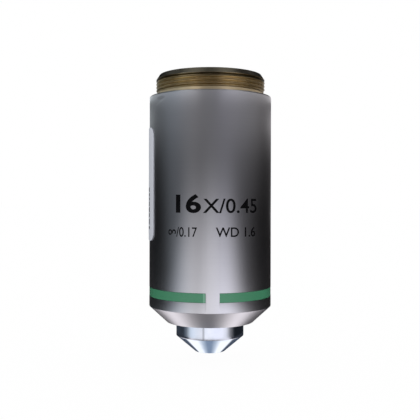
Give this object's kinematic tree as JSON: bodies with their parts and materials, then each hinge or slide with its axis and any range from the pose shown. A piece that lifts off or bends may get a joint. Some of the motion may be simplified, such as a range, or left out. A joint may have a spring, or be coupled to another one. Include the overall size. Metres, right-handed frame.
{
  "type": "microscope objective",
  "caption": "Microscope objective with a threaded brass collar, a satin sleeve, a colour band and a polished nose that gives way against a spring.",
  "frame": {"origin": "on the optical axis, in the plane of the shoulder that seats on the nosepiece", "axes": "+Z along the optical axis towards the thread, -Y towards the front with the opening of the colour band, -X towards the side with the label"},
  "size_m": [0.0282, 0.028, 0.0634],
  "materials": {
    "thread_brass": "turned brass, slightly dulled",
    "satin_chrome": "satin, fine turned grain",
    "green_enamel": "enamel, satin",
    "label_paper": "coated paper",
    "machined_brass": "machined",
    "blackened_brass": "blackened, matt",
    "polished_chrome": "mirror polished",
    "steel": "bright",
    "crown_glass": "polished and coated",
    "flint_glass": "polished and coated"
  },
  "bodies": {
    "housing": {"thread_collar": "thread_brass", "outer_sleeve": "satin_chrome", "colour_band": "green_enamel", "side_label": "label_paper", "guide_tube": "machined_brass", "parfocal_shim": "steel", "spring_retainer": "blackened_brass", "retract_spring": "steel", "guide_pin": "steel"},
    "lens_unit": {"lens_barrel": "machined_brass", "nose_cone": "polished_chrome", "front_cell": "blackened_brass", "front_lens": "crown_glass", "second_cell": "blackened_brass", "second_lens": "crown_glass", "lower_spacer": "blackened_brass", "doublet_cell": "blackened_brass", "doublet_flint": "flint_glass", "doublet_crown": "crown_glass", "middle_spacer": "blackened_brass", "triplet_cell": "blackened_brass", "triplet_lower": "crown_glass", "triplet_middle": "flint_glass", "triplet_upper": "crown_glass", "upper_spacer": "blackened_brass", "rear_cell": "blackened_brass", "rear_crown": "crown_glass", "rear_flint": "flint_glass", "lock_ring": "blackened_brass", "rear_stop": "blackened_brass", "centring_screw_1": "steel", "centring_screw_2": "steel", "centring_screw_3": "steel"}
  },
  "joints": [
    {"name": "nose_retract", "type": "slide", "parent": "housing", "child": "lens_unit", "axis": [0, 0, 1], "range_m": [0, 0.002], "stiffness_N_per_m": 600, "springref_m": -0.004, "deforming": ["retract_spring"]}
  ]
}
